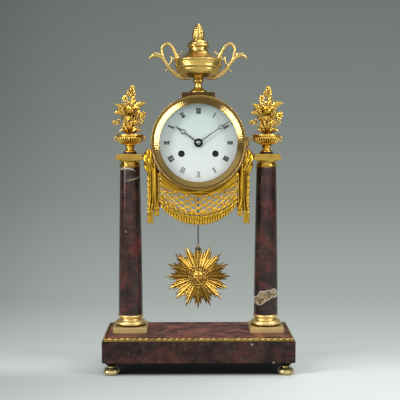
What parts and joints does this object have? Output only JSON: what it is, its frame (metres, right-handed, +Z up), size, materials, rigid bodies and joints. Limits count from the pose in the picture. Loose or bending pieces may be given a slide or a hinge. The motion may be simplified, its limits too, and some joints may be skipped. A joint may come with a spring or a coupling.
{
  "type": "mantel clock",
  "caption": "Mantel clock with a round drum dial carried by two marble columns, with an urn on top, a gilt net swag and a swinging sunburst pendulum.",
  "frame": {"origin": "centre of the clock on the table, under the feet", "axes": "+X to the viewer's right, +Y away from the viewer, +Z up"},
  "size_m": [0.28, 0.127, 0.5132],
  "materials": {
    "marble": "polished, dark red-brown with pale and red patches",
    "gilt": "fire gilt, part matte and part burnished",
    "bezel_gilt": "milled gilt ring",
    "bob_gilt": "aged gilt",
    "brass": "satin",
    "steel": "satin",
    "blued_steel": "blue-black",
    "enamel": "glossy white",
    "glass": "clear"
  },
  "bodies": {
    "case": {"plinth_block": "marble", "top_slab": "marble", "rope_moulding": "gilt", "feet": "gilt", "column_base_left": "gilt", "column_base_right": "gilt", "column_shaft_left": "marble", "column_shaft_right": "marble", "capital_left": "gilt", "capital_right": "gilt", "tie_rods": "steel", "tie_rod_nuts": "brass", "vase_discs": "marble", "vase_left": "gilt", "vase_right": "gilt", "bouquet_left": "gilt", "bouquet_right": "gilt", "side_brackets": "steel", "bracket_screws": "steel", "drum_case": "brass", "dial_ring": "brass", "false_plate": "brass", "enamel_dial": "enamel", "hinge_pins": "steel", "swag": "gilt", "swag_fall_left": "gilt", "swag_fall_right": "gilt", "swag_screws": "steel", "saddle_block": "marble", "urn_body": "gilt", "urn_lid": "gilt", "urn_handles": "gilt", "urn_bolt": "steel", "front_plate": "brass", "back_plate": "brass", "plate_pillars": "brass", "suspension_cock": "brass", "bell": "brass"},
    "bezel_door": {"bezel": "bezel_gilt", "bezel_glass": "glass", "glass_retainer": "brass"},
    "back_door": {"rear_door": "brass"},
    "minute_train": {"centre_arbor": "steel", "cannon_pinion": "steel", "minute_hand": "blued_steel", "hand_nut": "steel"},
    "hour_train": {"hour_wheel": "brass", "hour_hand": "blued_steel"},
    "minute_wheel": {"minute_wheel": "brass"},
    "going_barrel": {"going_barrel": "brass"},
    "strike_barrel": {"strike_barrel": "brass"},
    "going_arbor": {"going_winding_arbor": "steel"},
    "strike_arbor": {"strike_winding_arbor": "steel"},
    "third_wheel": {"third_wheel": "brass"},
    "escape_wheel": {"escape_wheel": "brass"},
    "anchor": {"anchor_crutch": "steel"},
    "count_wheel": {"count_wheel": "brass"},
    "pendulum": {"pendulum_rod": "steel", "sunburst_bob": "bob_gilt"},
    "hammer": {"bell_hammer": "steel"}
  },
  "joints": [
    {"name": "bezel_swing", "type": "hinge", "parent": "case", "child": "bezel_door", "pos_m": [0.0723, -0.0253, 0.337], "axis": [0, 0, 1], "range_deg": [0, 100]},
    {"name": "back_door_swing", "type": "hinge", "parent": "case", "child": "back_door", "pos_m": [-0.0663, 0.0471, 0.337], "axis": [0, 0, 1], "range_deg": [0, 110]},
    {"name": "minute_turn", "type": "hinge", "parent": "case", "child": "minute_train", "pos_m": [0, 0, 0.337], "axis": [0, 1, 0], "continuous": true},
    {"name": "hour_turn", "type": "hinge", "parent": "case", "child": "hour_train", "pos_m": [0, 0, 0.337], "axis": [0, 1, 0], "continuous": true},
    {"name": "minute_wheel_turn", "type": "hinge", "parent": "case", "child": "minute_wheel", "pos_m": [-0.0075, 0, 0.34999], "axis": [0, 1, 0], "continuous": true},
    {"name": "going_barrel_turn", "type": "hinge", "parent": "case", "child": "going_barrel", "pos_m": [0.0249, 0, 0.321], "axis": [0, 1, 0], "continuous": true},
    {"name": "third_wheel_turn", "type": "hinge", "parent": "case", "child": "third_wheel", "pos_m": [0.01026, 0, 0.3513], "axis": [0, 1, 0], "continuous": true},
    {"name": "escape_wheel_turn", "type": "hinge", "parent": "case", "child": "escape_wheel", "pos_m": [0, 0, 0.362], "axis": [0, 1, 0], "continuous": true},
    {"name": "strike_barrel_turn", "type": "hinge", "parent": "case", "child": "strike_barrel", "pos_m": [-0.0249, 0, 0.321], "axis": [0, 1, 0], "continuous": true},
    {"name": "count_wheel_turn", "type": "hinge", "parent": "case", "child": "count_wheel", "pos_m": [-0.02696, 0, 0.35052], "axis": [0, 1, 0], "continuous": true},
    {"name": "going_arbor_turn", "type": "hinge", "parent": "case", "child": "going_arbor", "pos_m": [0.0249, 0, 0.321], "axis": [0, 1, 0], "continuous": true},
    {"name": "strike_arbor_turn", "type": "hinge", "parent": "case", "child": "strike_arbor", "pos_m": [-0.0249, 0, 0.321], "axis": [0, 1, 0], "continuous": true},
    {"name": "pendulum_swing", "type": "hinge", "parent": "case", "child": "pendulum", "pos_m": [0, 0.024, 0.375], "axis": [0, 1, 0], "range_deg": [-4, 4]},
    {"name": "anchor_rock", "type": "hinge", "parent": "case", "child": "anchor", "pos_m": [0, 0, 0.375], "axis": [0, 1, 0], "range_deg": [-4, 4]},
    {"name": "hammer_lift", "type": "hinge", "parent": "case", "child": "hammer", "pos_m": [-0.012, 0, 0.317], "axis": [0, 1, 0], "range_deg": [0, 15]}
  ],
  "couplings": [
    {"joint": "hour_turn", "follows": "minute_turn", "ratio": 0.083333},
    {"joint": "minute_wheel_turn", "follows": "minute_turn", "ratio": -0.33333},
    {"joint": "going_barrel_turn", "follows": "minute_turn", "ratio": -0.16667},
    {"joint": "third_wheel_turn", "follows": "minute_turn", "ratio": -10},
    {"joint": "escape_wheel_turn", "follows": "minute_turn", "ratio": 120},
    {"joint": "count_wheel_turn", "follows": "strike_barrel_turn", "ratio": -6},
    {"joint": "anchor_rock", "follows": "pendulum_swing", "ratio": 1}
  ]
}
